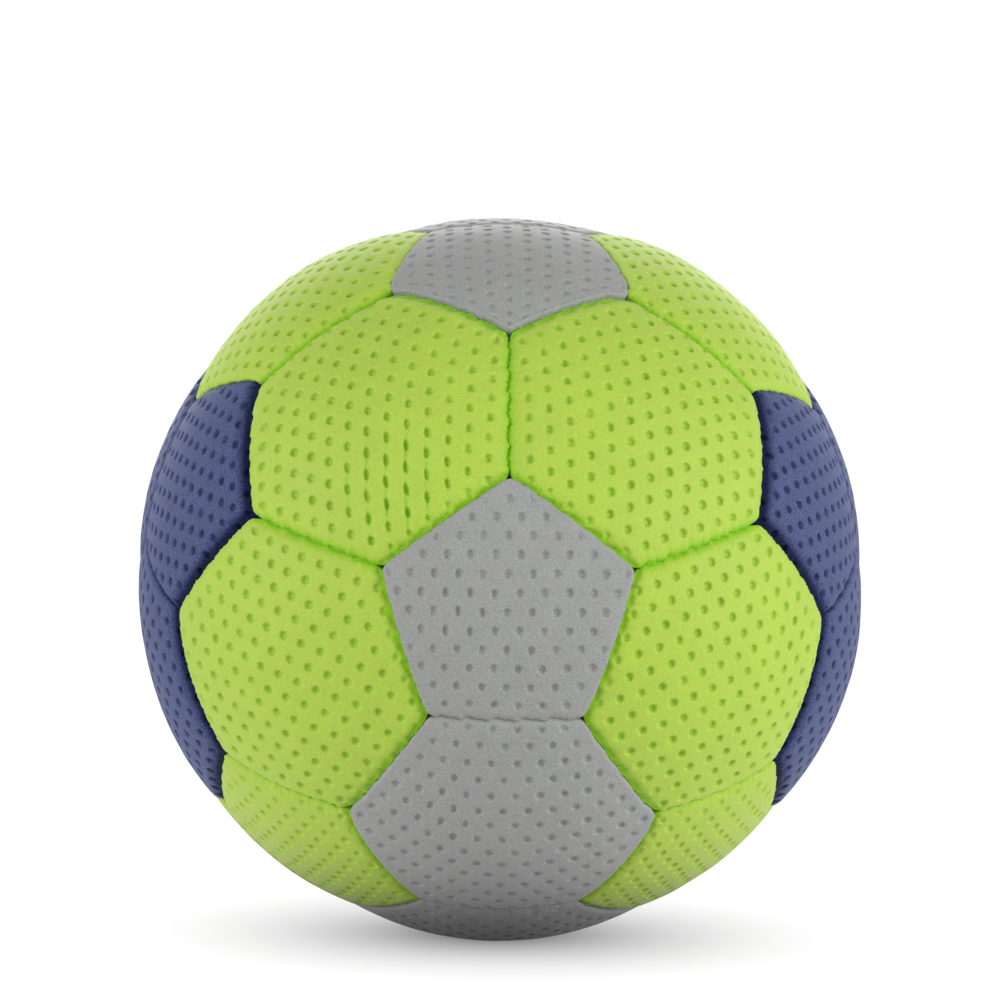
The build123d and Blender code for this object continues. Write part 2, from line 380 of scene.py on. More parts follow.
class Wiring:
    """Adds nodes to a tree and links them, so that a tree reads as a list of steps."""

    def __init__(self, tree):
        self.tree = tree

    def add(self, kind, inputs=None, **settings):
        """Add a node, set it up, and feed its inputs by name or number."""
        node = self.tree.nodes.new(kind)
        for name, value in settings.items():
            setattr(node, name, value)
        for key, value in (inputs or {}).items():
            self.feed(node.inputs[key], value)
        return node

    def feed(self, socket, value):
        """Link a socket to an output, or give it a fixed value."""
        if isinstance(value, bpy.types.NodeSocket):
            self.tree.links.new(value, socket)
        else:
            socket.default_value = value

    def math(self, operation, *values):
        """Work out a number."""
        return self.add("ShaderNodeMath", dict(enumerate(values)), operation=operation).outputs[0]

    def times(self, first, *others):
        """Multiply numbers."""
        for other in others:
            first = self.math("MULTIPLY", first, other)
        return first

    def line(self, value, slope, base):
        """Multiply a number and add to it."""
        return self.math("MULTIPLY_ADD", value, slope, base)

    def less(self, value, taken):
        """Take one number from another."""
        return self.math("SUBTRACT", value, taken)

    def vector(self, operation, *values):
        """Work out a vector, or a number for a length or a distance."""
        node = self.add("ShaderNodeVectorMath", dict(enumerate(values)), operation=operation)
        number = operation in ("LENGTH", "DISTANCE")
        return node.outputs["Value" if number else "Vector"]

    def scaled(self, vector, factor):
        """Scale a vector by a number."""
        node = self.add("ShaderNodeVectorMath", {0: vector, "Scale": factor}, operation="SCALE")
        return node.outputs["Vector"]

    def ramp(self, value, low, high, at_low, at_high):
        """Pass smoothly from one value to another."""
        feeds = dict(enumerate((value, low, high, at_low, at_high)))
        node = self.add("ShaderNodeMapRange", feeds, interpolation_type="SMOOTHSTEP")
        return node.outputs[0]

    def noise(self, vector, scale, detail, seed=0.0):
        """Give a noise node that a seed shifts."""
        feeds = {"Vector": vector, "W": seed, "Scale": scale, "Detail": detail}
        return self.add("ShaderNodeTexNoise", feeds, noise_dimensions="4D").outputs

    def parts(self, vector):
        """Split a vector into its three numbers."""
        return self.add("ShaderNodeSeparateXYZ", {0: vector}).outputs

    def joined(self, x, y, z=0.0):
        """Join three numbers into a vector."""
        return self.add("ShaderNodeCombineXYZ", {0: x, 1: y, 2: z}).outputs[0]

    def turned(self, vector, angle):
        """Turn a vector about Z."""
        feeds = {"Vector": vector, "Angle": angle}
        return self.add("ShaderNodeVectorRotate", feeds, rotation_type="Z_AXIS").outputs[0]

    def mixed(self, share, first, second):
        """Mix two colours by a share."""
        node = self.add("ShaderNodeMix", {"Factor": share}, data_type="RGBA")
        colours = [socket for socket in node.inputs if socket.type == "RGBA"]
        self.feed(colours[0], first)
        self.feed(colours[1], second)
        return next(socket for socket in node.outputs if socket.type == "RGBA")

    def named(self, name, kind="FLOAT_VECTOR"):
        """Read a named attribute of a geometry."""
        node = self.add("GeometryNodeInputNamedAttribute", {"Name": name}, data_type=kind)
        return node.outputs["Attribute"]

    def store(self, geometry, name, value, kind="FLOAT_VECTOR"):
        """Keep a value on the points of a geometry as a named attribute."""
        feeds = {"Geometry": geometry, "Name": name, "Value": value}
        node = self.add("GeometryNodeStoreNamedAttribute", feeds, data_type=kind, domain="POINT")
        return node.outputs[0]

    def kept(self, name, output="Vector"):
        """Read a named attribute in a material."""
        return self.add("ShaderNodeAttribute", attribute_name=name).outputs[output]

    def place(self):
        """Give the place in the object's own frame."""
        return self.add("ShaderNodeTexCoord").outputs["Object"]

    def seen(self):
        """Tell whether the camera sees a place, mirrored and through glass too, and whether straight."""
        light = self.add("ShaderNodeLightPath").outputs
        mirrored = self.math("MAXIMUM", light["Is Camera Ray"], light["Is Glossy Ray"])
        return self.math("MAXIMUM", mirrored, light["Is Transmission Ray"]), light["Is Camera Ray"]


def add_sockets(tree, direction, sockets):
    """Name a tree's inputs or outputs."""
    for name, kind in sockets:
        tree.interface.new_socket(name, in_out=direction, socket_type="NodeSocket" + kind)


def start_tree(name, kind, sockets, numbers):
    """Start a tree with named inputs, and give its wiring and its inputs."""
    tree = bpy.data.node_groups.new(name, kind)
    add_sockets(tree, "INPUT", sockets + [(number, "Float") for number in numbers])
    w = Wiring(tree)
    return w, w.add("NodeGroupInput").outputs


def end_tree(w, geometry, material):
    """End a geometry tree in real geometry with its material set."""
    real = w.add("GeometryNodeRealizeInstances", {"Geometry": geometry}).outputs[0]
    finished = w.add("GeometryNodeSetMaterial", {"Geometry": real, "Material": material}).outputs[0]
    add_sockets(w.tree, "OUTPUT", [("Geometry", "Geometry")])
    w.add("NodeGroupOutput", {0: finished})
    return w.tree


def end_skin(w, **results):
    """End a shader group in a colour, a height in metres and other numbers, by name."""
    add_sockets(w.tree, "OUTPUT", [(name, "Color" if name == "Colour" else "Float") for name in results])
    w.add("NodeGroupOutput", results)
    return w.tree


def bare_wiring(owner):
    """Clear the nodes of a material or a world and give its wiring."""
    owner.use_nodes = True
    owner.node_tree.nodes.clear()
    return Wiring(owner.node_tree)


def socket_names(tree):
    """Map the names of a tree's inputs to their identifiers."""
    items = tree.interface.items_tree
    return {item.name: item.identifier for item in items if item.in_out == "INPUT"}


def on_circle(angles):
    """Give the points of a unit circle at each angle."""
    return np.stack([np.cos(angles), np.sin(angles)], -1)


def directions(flat):
    """Give the directions of places on the plane that touches a unit ball."""
    outs = np.pad(flat, ((0, 0), (0, 1)), constant_values=1.0)
    return outs / np.linalg.norm(outs, axis=1)[:, None]


def direction(polar, clock):
    """Point from the centre at an angle off the front pole and an angle clockwise from the top."""
    return np.array([sin(polar) * sin(clock), -cos(polar), sin(polar) * cos(clock)])


def panel_axes(kind, polar, clock):
    """Give the axes that a panel stands on: the first runs to a corner and the last out of the ball."""
    out = direction(polar, clock)
    if kind == "hexagon":
        to_corner = direction(pi / 2, clock + pi / 2)
    else:
        inward = -1 if polar < pi / 2 else 1
        to_corner = direction(polar + inward * pi / 2, clock)
    return np.array([to_corner, np.cross(out, to_corner), out])


def panel_places():
    """List every foam panel: node, kind and axes."""
    places = [
        ("front_pentagon", "pentagon", panel_axes("pentagon", 0, pi)),
        (valve_panel, "pentagon", panel_axes("pentagon", pi, 0)),
    ]
    for ring, kind, polar, first_clock in rings:
        for number in range(panels_per_ring):
            axes = panel_axes(kind, polar, first_clock + number * fifth)
            places.append((f"{ring}_{number + 1}", kind, axes))
    return places


def outline_reach(angles, sides, apothem, rounding):
    """Give the reach of a rounded polygon, with a corner on X, at each angle."""
    half_side = pi / sides
    off_middle = np.abs((angles % (2 * half_side)) - half_side)
    straight = apothem / np.cos(off_middle)
    corner_distance = (apothem - rounding) / cos(half_side)
    off_corner = half_side - off_middle
    under_root = np.maximum(rounding**2 - (corner_distance * np.sin(off_corner)) ** 2, 0)
    rounded = corner_distance * np.cos(off_corner) + np.sqrt(under_root)
    straight_end = atan(tan(half_side) * (apothem - rounding) / apothem)
    return np.where(off_middle <= straight_end, straight, rounded)


def side_angles(sides, count):
    """Spread points evenly along the sides of a polygon and give their angles."""
    step = 2 * pi / sides
    along = np.arange(count) / count
    in_side = np.arctan2(along * sin(step), 1 - along + along * cos(step))
    return (np.arange(sides)[:, None] * step + in_side).ravel()


def fan_triangles(sides, rows):
    """Join the rows of a fan whose row number i has i points on each side."""
    triangles = []
    for row in range(1, rows + 1):
        outer_start = 1 + sides * row * (row - 1) // 2
        inner_start = max(1 + sides * (row - 1) * (row - 2) // 2, 0)
        inner_count = max(sides * (row - 1), 1)
        side = np.arange(sides)[:, None]
        step = np.arange(row)
        outer = outer_start + (side * row + step) % (sides * row)
        outer_next = outer_start + (side * row + step + 1) % (sides * row)
        inner = (side * (row - 1) + step) % inner_count + (inner_start if row > 1 else 0)
        triangles.append(np.stack([inner, outer, outer_next], -1).reshape(-1, 3))
        inner_next = (side * (row - 1) + step + 1) % inner_count + inner_start
        second = np.stack([inner, outer_next, inner_next], -1)[:, :-1]
        if row > 1:
            triangles.append(second.reshape(-1, 3))
    return np.concatenate(triangles)


def band_triangles(first_row, second_row):
    """Join two closed rows of as many points."""
    first_next = np.roll(first_row, -1)
    second_next = np.roll(second_row, -1)
    lower = np.stack([first_row, second_row, second_next], -1)
    upper = np.stack([first_row, second_next, first_next], -1)
    return np.concatenate([lower, upper])


class PanelShell:
    """Points and triangles of one kind of panel, laid on the plane that touches a unit ball."""

    points_per_side = 72
    wall_rows = 3
    hole_rows = 54
    lip_rows = 8
    border_shares = (0.86, 0.73, 0.61, 0.50, 0.40, 0.32, 0.25, 0.19, 0.14, 0.10, 0.06, 0.03, 0.0)
    underside_shares = (0.62, 0.28)

    def __init__(self, cover, kind, hole=False):
        self.cover = cover
        self.kind = kind
        self.sides = side_counts[kind]
        self.tilt = tilts[kind]
        self.rounding = cover.hexagon_rounding if kind == "hexagon" else cover.pentagon_rounding
        self.flat, self.drop, self.sink, self.low = [], [], [], []
        self.triangles = []
        self.angles = side_angles(self.sides, self.points_per_side)
        first_row = self.add_hole() if hole else self.add_fan()
        last_row = self.add_border(first_row)
        if hole:
            self.triangles.append(band_triangles(last_row, self.hole_foot))
        else:
            self.add_underside(last_row)
        self.flat = np.concatenate(self.flat)
        self.drop, self.sink, self.low = map(np.concatenate, (self.drop, self.sink, self.low))
        self.triangles = np.concatenate(self.triangles)
        self.measure()

    def add_points(self, flat, drop=0.0, sink=0.0, low=0.0):
        """Add points with their drop below the crown, and their sink towards a low radius."""
        start = sum(len(part) for part in self.flat)
        self.flat.append(flat)
        for store, value in ((self.drop, drop), (self.sink, sink), (self.low, low)):
            store.append(np.broadcast_to(value, len(flat)).astype(float))
        return start + np.arange(len(flat))

    def add_next(self, row, flat, drop=0.0, sink=0.0, low=0.0):
        """Add a row and join it to the row before it."""
        following = self.add_points(flat, drop, sink, low)
        self.triangles.append(band_triangles(row, following))
        return following

    def row(self, gap, angles=None):
        """Lay a row of points at a distance from the seams."""
        angles = self.angles if angles is None else angles
        ball = self.cover.hexagon_crown
        apothem = tan(self.tilt - gap / ball)
        reach = outline_reach(angles, self.sides, apothem, (self.rounding + gap) / ball)
        return reach[:, None] * on_circle(angles)

    def add_fan(self):
        """Add the crowned face, from its middle to the border."""
        self.add_points(np.zeros((1, 2)))
        inset = self.cover.border_width + self.cover.seam_clearance
        for row in range(1, self.points_per_side + 1):
            angles = side_angles(self.sides, row)
            last = self.add_points(self.row(inset, angles) * row / self.points_per_side)
        self.triangles.append(fan_triangles(self.sides, self.points_per_side))
        return last

    def add_hole(self):
        """Add the crowned face round the valve's hole, with the hole's wall and rolled lip."""
        cover = self.cover
        circle = on_circle(self.angles)
        hole = cover.valve_hole_radius / cover.pentagon_crown
        lip = cover.valve_lip / cover.pentagon_crown
        self.hole_foot = self.add_points(circle * hole, sink=1.0, low=cover.dish_radius)
        row = self.hole_foot
        for turned in np.linspace(pi / 2, 0, self.lip_rows):
            reach = hole + lip * (1 - sin(turned))
            row = self.add_next(row, circle * reach, cover.valve_lip * (1 - cos(turned)))
        edge = self.row(cover.border_width + cover.seam_clearance)
        for along in np.linspace(0, 1, self.hole_rows)[1:]:
            row = self.add_next(row, circle * (hole + lip) * (1 - along) + edge * along)
        return row

    def add_border(self, row):
        """Add the border, the wall along the seam and the turned-in flange."""
        cover = self.cover
        for border_share in self.border_shares:
            row = self.add_next(row, self.row(cover.seam_clearance + cover.border_width * border_share))
        seam = self.row(cover.seam_clearance)
        for sink in np.linspace(0, 1, self.wall_rows + 1)[1:]:
            row = self.add_next(row, seam, 0.0, sink, cover.flange_radius)
        inner = self.row(cover.flange_thickness)
        row = self.add_next(row, inner, 0.0, 1.0, cover.flange_radius)
        return self.add_next(row, inner, 0.0, 1.0, cover.dish_radius)

    def add_underside(self, row):
        """Close the underside of the foam over the lining."""
        inner = self.row(self.cover.flange_thickness)
        for reach_share in self.underside_shares:
            row = self.add_next(row, inner * reach_share, 0.0, 1.0, self.cover.dish_radius)
        middle = self.add_points(np.zeros((1, 2)), 0.0, 1.0, self.cover.dish_radius)
        self.triangles.append(np.stack([row, np.full(len(row), middle[0]), np.roll(row, -1)], -1))

    def measure(self):
        """Work out each point's distance from every side and its place along it."""
        ball = self.cover.hexagon_crown
        middles = (np.arange(self.sides) + 0.5) * 2 * pi / self.sides
        outward = on_circle(middles)
        sideways = np.stack([-outward[:, 1], outward[:, 0]], -1)
        self.gaps = np.maximum(ball * (self.tilt - np.arctan(self.flat @ outward.T)), 0)
        self.alongs = ball * np.arctan(self.flat @ sideways.T * cos(self.tilt))
        self.outward = outward
        self.gap = np.where(self.sink > 0, 0.0, self.gaps.min(axis=1))
        reach = np.linalg.norm(self.flat, axis=1)
        bend = np.arctan(reach) / np.maximum(reach, least_reach)
        self.spread = np.pad(ball * self.flat * bend[:, None], ((0, 0), (0, 1)))

    def crown_radius(self, upright):
        """Give the distance of the crowned face from the ball's centre, by the cosine off the axis."""
        cover = self.cover
        crown = cover.hexagon_crown if self.kind == "hexagon" else cover.pentagon_crown
        seam = cover.hexagon_crown - cover.seam_dip
        centre = (crown**2 - seam**2) / (2 * (crown - seam * cos(self.tilt)))
        sideways = centre**2 * (1 - upright**2)
        return centre * upright + np.sqrt((crown - centre) ** 2 - sideways)

    def shape(self, axes, edges, leans, seams, seed):
        """Stand the panel in its place, with the edge and the lean that each of its seams gives it."""
        draw = np.random.default_rng(seed)
        drops = [self.edge_drop(number, edge, draw) for number, edge in enumerate(edges)]
        self.edge_drops = np.linalg.norm(drops, ord=corner_power, axis=0)
        drop = self.drop + self.edge_drops
        places = directions(self.flat + self.seam_shift(edges, leans, seams))
        radius = self.crown_radius(places[:, 2]) - drop
        places = places @ axes
        radius = (radius + unevenness(places)) * (1 - self.sink) + self.low * self.sink
        return places * radius[:, None]

    def seam_line(self, axes, number, lean, along):
        """Give the radii and directions of points on a side's seam line, and the ways along and across it."""
        ball = self.cover.hexagon_crown
        across = self.outward[number]
        beside = np.array([-across[1], across[0]])
        reach = tan(self.tilt) + lean / (ball * cos(self.tilt) ** 2)
        flat = reach * across + np.outer(np.tan(along / ball) / cos(self.tilt), beside)
        outs = directions(flat)
        radius = self.crown_radius(outs[:, 2])
        outs = outs @ axes
        radius = radius + unevenness(outs)
        return radius, outs, beside @ axes[:2], across @ axes[:2]

    def stitching(self, along):
        """Give the place within a stitch, from -0.5 to 0.5, and how far a corner is."""
        stitch = along / self.cover.stitch_pitch
        sewn = np.clip((self.cover.sewn_length / 2 - np.abs(along)) / self.cover.stitch_pitch, 0, 0.5) * 2
        return stitch - np.round(stitch), sewn

    def edge_drop(self, number, edge, draw):
        """Give the drop that one side's rolled edge and crease make."""
        gap, along = self.gaps[:, number], self.alongs[:, number]
        saw, sewn = self.stitching(along)
        slit = 1 - np.clip((np.abs(saw) - slit_start_share) / slit_fade_share, 0, 1) * sewn
        fray = edge.fray * waves(along, draw) / 2
        roll = edge.roll_depth * np.maximum(1 - gap / edge.roll_width, 0) ** 2
        place = edge.crease_place * (1 + crease_slant_share * saw * sewn) + fray
        off_crease = (gap - place) / edge.crease_width
        open_share = edge.stitch_share + (1 - edge.stitch_share) * slit
        crease = edge.crease_depth * open_share * np.exp(-off_crease**2)
        return np.maximum(roll + crease + fray * np.exp(-gap / edge.roll_width), 0)

    def seam_shift(self, edges, leans, seams):
        """Give the sideways shift of the seams: their lean, the step at each stitch and a ragged line."""
        amounts = []
        for number, (edge, lean, seam) in enumerate(zip(edges, leans, seams)):
            near = np.exp(-self.gaps[:, number] / self.cover.border_width)
            along = self.alongs[:, number]
            saw, sewn = self.stitching(along)
            eased = 2 * saw * np.clip((0.5 - np.abs(saw)) / step_share, 0, 1)
            own, other = seam
            draw = np.random.default_rng(sorted(seam))
            side = 1 if own < other else -1
            ragged = side * ragged_share * edge.fray * waves(side * along, draw)
            middle_lean, first_lean, last_lean = lean
            to_end = np.clip((self.cover.seam_length / 2 - np.abs(along)) / self.cover.corner_ease, 0, 1)
            end_lean = np.where(along < 0, first_lean, last_lean)
            leaning = end_lean + (middle_lean - end_lean) * to_end**2 * (3 - 2 * to_end)
            stepped = edge.sway * eased * near**sway_power + ragged * near**ragged_power
            amounts.append(leaning * near + stepped * sewn)
        return self.corner_shift(np.array(amounts).T) / (self.cover.hexagon_crown * cos(self.tilt) ** 2)

    def corner_shift(self, amounts):
        """Join the shifts of the two nearest sides, so that both hold where the sides meet."""
        rows = np.arange(len(amounts))
        first, second = np.argsort(self.gaps, axis=1)[:, :2].T
        further = self.gaps[rows, second] - self.gaps[rows, first]
        corner = np.exp(-further / self.cover.border_width)
        first_amount, second_amount = amounts[rows, first], amounts[rows, second]
        overlap = np.sum(self.outward[first] * self.outward[second], axis=1)
        slide = corner * (second_amount - overlap * first_amount) / (1 - overlap**2)
        straight = first_amount - overlap * slide
        return straight[:, None] * self.outward[first] + slide[:, None] * self.outward[second]


def waves(along, draw):
    """Add up short waves along a seam, each with a phase of its own."""
    return sum(np.sin(2 * pi * along / wave + draw.uniform(0, 2 * pi)) for wave in fray_waves)


def unevenness(places):
    """Give how far the sewn ball stands off a true ball in each direction."""
    height = np.zeros(len(places))
    for polar, clock, reach, rise in ball_bumps:
        off = np.arccos(np.clip(places @ direction(polar, clock), -1, 1)) / reach
        height += rise * np.maximum(1 - off**2, 0) ** 2
    return height


def seam_lean(node, other, tones):
    """Give how far a panel leans over its neighbour, less than nothing where the neighbour leans over it."""
    by_colour = (colour_leans, tones[node], tones[other])
    for leans, first, second in ((panel_leans, node, other), by_colour):
        for pair, sign in (((first, second), 1), ((second, first), -1)):
            if pair in leans:
                return sign * leans[pair]
    return 0.0


def side_leans(node, others, tones):
    """List the lean of each side of a panel, in its middle and at its two ends.

    Three seams meet at an end, so the lean there is the one that agrees best with all three.
    """
    leans = [seam_lean(node, other, tones) for other in others]
    sides = []
    for number, lean in enumerate(leans):
        ends = []
        for step in (-1, 1):
            beside = (number + step) % len(others)
            past = seam_lean(others[number], others[beside], tones)
            ends.append((2 * lean + leans[beside] - past) / 3)
        sides.append((lean, *ends))
    return sides


def panel_edge(node, other, tones):
    """Give the edge that a panel has along its seam with another."""
    return panel_edges.get((node, other), edges[tones[node], tones[other]])


def groove_depth(edge):
    """Give how deep an edge lies at the seam line itself."""
    return edge.roll_depth + edge.crease_depth * np.exp(-((edge.crease_place / edge.crease_width) ** 2))


def panel_tones():
    """Map every foam panel to the colour that its slot names."""
    slots = {part["node"]: part["material_slot"] for part in frame["record"]["subparts"]}
    return {node: slot.removeprefix("foam_") for node, slot in slots.items() if slot.startswith("foam_")}


def panel_neighbours(places):
    """List the neighbours of every panel, side by side from its first corner."""
    nodes = [node for node, _, _ in places]
    outs = np.array([axes[2] for _, _, axes in places])
    neighbours = {}
    for node, kind, axes in places:
        sides = side_counts[kind]
        past_seam = tilts[kind] + pentagon_tilt
        neighbours[node] = []
        for number in range(sides):
            middle = (number + 0.5) * 2 * pi / sides
            local = np.array([sin(past_seam) * cos(middle), sin(past_seam) * sin(middle), cos(past_seam)])
            neighbours[node].append(nodes[int(np.argmax(outs @ (local @ axes)))])
    return neighbours


def dimple_pit(w, lattice, half_cell, slit, width):
    """Give how far a place lies in the nearest dimple of a staggered lattice, from 0 to 1."""
    along_stretch, cross_stretch, slit_turn = w.parts(slit)
    stretch = w.joined(along_stretch, cross_stretch)
    distances = []
    for site in (lattice, w.vector("ADD", lattice, half_cell)):
        offset = w.turned(w.vector("WRAP", site, half_cell, w.scaled(half_cell, -1.0)), slit_turn)
        distances.append(w.vector("LENGTH", w.vector("MULTIPLY", offset, stretch)))
    return w.ramp(w.math("MINIMUM", *distances), w.times(width, flat_share), width, 1.0, 0.0)


def dimple_tree():
    """Build the node tree that presses dimples and a slow swell into a foam panel."""
    lengths = ("Pitch", "Row Gap", "Width", "Depth", "Wobble", "Swell", "Pinch Reach")
    others = ("Lattice Turn", "Lean", "Pinch Turn", "Pinch", "Seed")
    sockets = [("Geometry", "Geometry"), ("Pinch Place", "Vector"), ("Material", "Material")]
    w, given = start_tree("press dimples", "GeometryNodeTree", sockets, lengths + others)
    flat = w.named("flat_place")
    gap = w.named("edge_gap", "FLOAT")

    # Place on the lattice, with dimples strayed a little
    stray = w.vector("SUBTRACT", w.noise(flat, *stray_noise, given["Seed"])[1], (noise_middle,) * 3)
    place = w.vector("ADD", flat, w.scaled(stray, given["Wobble"]))
    x, y, _ = w.parts(w.turned(place, given["Lattice Turn"]))
    lattice = w.joined(w.less(x, w.times(y, given["Lean"])), y)
    half_cell = w.joined(w.times(given["Pitch"], 0.5), given["Row Gap"], cell_height)

    # Pinched patch, where dimples are long, narrow and deep
    away = w.vector("DISTANCE", flat, given["Pinch Place"])
    patch = w.times(w.ramp(away, 0.0, given["Pinch Reach"], 1.0, 0.0), given["Pinch"])
    slit = w.joined(
        w.line(patch, *slit_length_shares),
        w.line(patch, *slit_width_shares),
        w.less(given["Lattice Turn"], given["Pinch Turn"]),
    )

    # Depth of the dimples, uneven and fading towards the seams
    uneven = w.line(w.noise(flat, *depth_noise, given["Seed"])[0], *uneven_shares)
    inside = w.ramp(gap, *fade_band, 0.0, 1.0)
    deeper = w.times(uneven, w.line(patch, *slit_depth_shares))
    depth = w.times(deeper, inside, given["Depth"])
    pit = dimple_pit(w, lattice, half_cell, slit, given["Width"])

    # Height along the surface's normal
    slow = w.less(w.noise(flat, *swell_noise, given["Seed"])[0], noise_middle)
    swell = w.times(slow, given["Swell"])
    swell = w.times(swell, w.times(inside, swell_factor))
    height = w.less(swell, w.times(pit, depth))
    normal = w.add("GeometryNodeInputNormal").outputs[0]
    feeds = {"Geometry": given["Geometry"], "Offset": w.scaled(normal, height)}
    shaped = w.add("GeometryNodeSetPosition", feeds).outputs[0]

    # Attributes that the foam skin reads
    for name, value in (("lattice_place", lattice), ("half_cell", half_cell), ("slit", slit)):
        shaped = w.store(shaped, name, value)
    for name, value in (("dimple_depth", depth), ("pinch", patch)):
        shaped = w.store(shaped, name, value, "FLOAT")
    shaped = w.add("GeometryNodeSetShadeSmooth", {"Geometry": shaped}).outputs[0]
    return end_tree(w, shaped, given["Material"])


def stitch_tree():
    """Build the node tree that lays a slanted stitch of thread on every point."""
    sockets = [("Geometry", "Geometry"), ("Material", "Material")]
    numbers = ("Length", "Thickness", "Unevenness", "Seed")
    w, given = start_tree("lay stitches", "GeometryNodeTree", sockets, numbers)
    run = w.named("stitch_run")
    out = w.named("stitch_out")
    place = w.add("GeometryNodeInputPosition").outputs[0]

    # One stitch, a long bead with its own place kept for the twist of the thread
    bead = w.add("GeometryNodeMeshUVSphere", bead_shape).outputs["Mesh"]
    bead = w.store(bead, "stitch_place", place)
    bead = w.add("GeometryNodeSetShadeSmooth", {"Geometry": bead}).outputs[0]

    # Stitches along the seams, no two quite as long
    facing = w.add("FunctionNodeAxesToRotation", {0: run, 1: out}, primary_axis="Z", secondary_axis="X")
    drawn = w.less(w.noise(place, *stitch_noise, given["Seed"])[0], noise_middle)
    stretch = w.line(drawn, given["Unevenness"], 1.0)
    size = w.joined(given["Thickness"], given["Thickness"], w.times(given["Length"], stretch))
    feeds = {"Points": given["Geometry"], "Instance": bead, "Rotation": facing.outputs[0], "Scale": size}
    stitches = w.add("GeometryNodeInstanceOnPoints", feeds).outputs[0]
    return end_tree(w, stitches, given["Material"])


def grow(piece, tree, values):
    """Run a node tree on a piece with named values and keep the result as its plain mesh."""
    modifier = piece.modifiers.new(tree.name, "NODES")
    modifier.node_group = tree
    names = socket_names(tree)
    for name, value in values.items():
        modifier[names[name]] = value
    depsgraph = bpy.context.evaluated_depsgraph_get()
    evaluated = piece.evaluated_get(depsgraph)
    mesh = bpy.data.meshes.new_from_object(evaluated, preserve_all_data_layers=True, depsgraph=depsgraph)
    seed_mesh = piece.data
    piece.modifiers.clear()
    piece.data = mesh
    bpy.data.meshes.remove(seed_mesh)
    mesh.name = piece.name


def add_object(name, data):
    """Put a new object into the scene."""
    added = bpy.data.objects.new(name, data)
    bpy.context.scene.collection.objects.link(added)
    return added


def new_piece(name, points, faces, attributes):
    """Make a mesh object with named attributes on its points."""
    mesh = bpy.data.meshes.new(name)
    mesh.from_pydata(points.tolist(), [], faces.tolist())
    for key, values in attributes.items():
        kind, field_name = ("FLOAT_VECTOR", "vector") if values.ndim == 2 else ("FLOAT", "value")
        store = mesh.attributes.new(key, kind, "POINT").data
        store.foreach_set(field_name, values.astype(np.float32).ravel())
    return add_object(name, mesh)


def foam_skin():
    """Build the shader group for foam: colour with speckle and with painted shade in dimples, creases and
    seam grooves, and its height in metres.
    """
    colours = [("Colour", "Color"), ("Depth Colour", "Color")]
    numbers = ("Grain", "Grain Height", "Speckle", "Shine", "Width", "Depth", "Crease Turn", "Crease Gap")
    w, given = start_tree("foam skin", "ShaderNodeTree", colours, numbers)
    place = w.place()

    # Dimples, drawn finer than the mesh
    pit = dimple_pit(w, w.kept("lattice_place"), w.kept("half_cell"), w.kept("slit"), given["Width"])
    dimple = w.times(pit, w.kept("dimple_depth", "Fac"))
    dimple_share = w.math("DIVIDE", dimple, given["Depth"])

    # Fine creases that join the slits of a pinched patch
    flat = w.kept("flat_place")
    bent = w.vector("ADD", flat, w.scaled(w.noise(flat, *bend_noise)[1], bend_reach))
    across = w.parts(w.turned(bent, w.times(given["Crease Turn"], -1.0)))[1]
    half_gap = w.times(given["Crease Gap"], 0.5)
    off = w.math("ABSOLUTE", w.math("WRAP", across, half_gap, w.times(half_gap, -1.0)))
    broken = w.ramp(w.noise(flat, *break_noise)[0], *break_shares)
    strength = w.times(broken, w.ramp(w.kept("pinch", "Fac"), *pinch_shares))
    crease = w.times(w.ramp(off, 0.0, crease_reach, 1.0, 0.0), strength)

    # Painted shade along dropped seam edges, in dimples and in creases, and speckle
    grain = w.noise(place, given["Grain"], foam_detail)[0]
    mottle = w.noise(place, *mottle_noise)[0]
    edge = w.ramp(w.kept("edge_drop", "Fac"), *edge_depths, 0.0, edge_shade_share)
    painted_crease_shade = w.line(crease, crease_shade_share, edge)
    deep = w.math("MINIMUM", w.line(dimple_share, dimple_shade_share, painted_crease_shade), 1.0)
    speck = w.times(w.ramp(grain, *speck_shares), given["Speckle"])
    bright = w.math("ADD", w.line(mottle, mottle_share, speck), base_share)
    mixed = w.mixed(deep, given["Colour"], given["Depth Colour"])

    # Height of the grain, less the creases and what the mesh leaves out of the dimples
    fine = w.line(crease, crease_height_share, grain)
    fine = w.times(fine, given["Grain Height"])
    height = w.line(dimple, dimple_height_share, fine)
    rough = w.line(grain, *foam_rough_shares)
    # Shine falls away where shade is painted, a painted shade on the reflection too
    shine = w.times(w.less(1.0, deep), given["Shine"])
    return end_skin(w, Colour=w.scaled(mixed, bright), Height=height, Roughness=rough, Shine=shine)


def rubber_skin():
    """Build the shader group for moulded rubber: a faint mottle in colour, height and roughness."""
    numbers = ("Grain", "Grain Height", "Roughness")
    w, given = start_tree("rubber skin", "ShaderNodeTree", [("Colour", "Color")], numbers)
    grain = w.noise(w.place(), given["Grain"], rubber_detail)[0]
    bright = w.line(grain, *rubber_bright_shares)
    off_middle = w.less(grain, noise_middle)
    rough = w.line(off_middle, rubber_rough_share, given["Roughness"])
    height = w.times(grain, given["Grain Height"])
    return end_skin(w, Colour=w.scaled(given["Colour"], bright), Height=height, Roughness=rough)


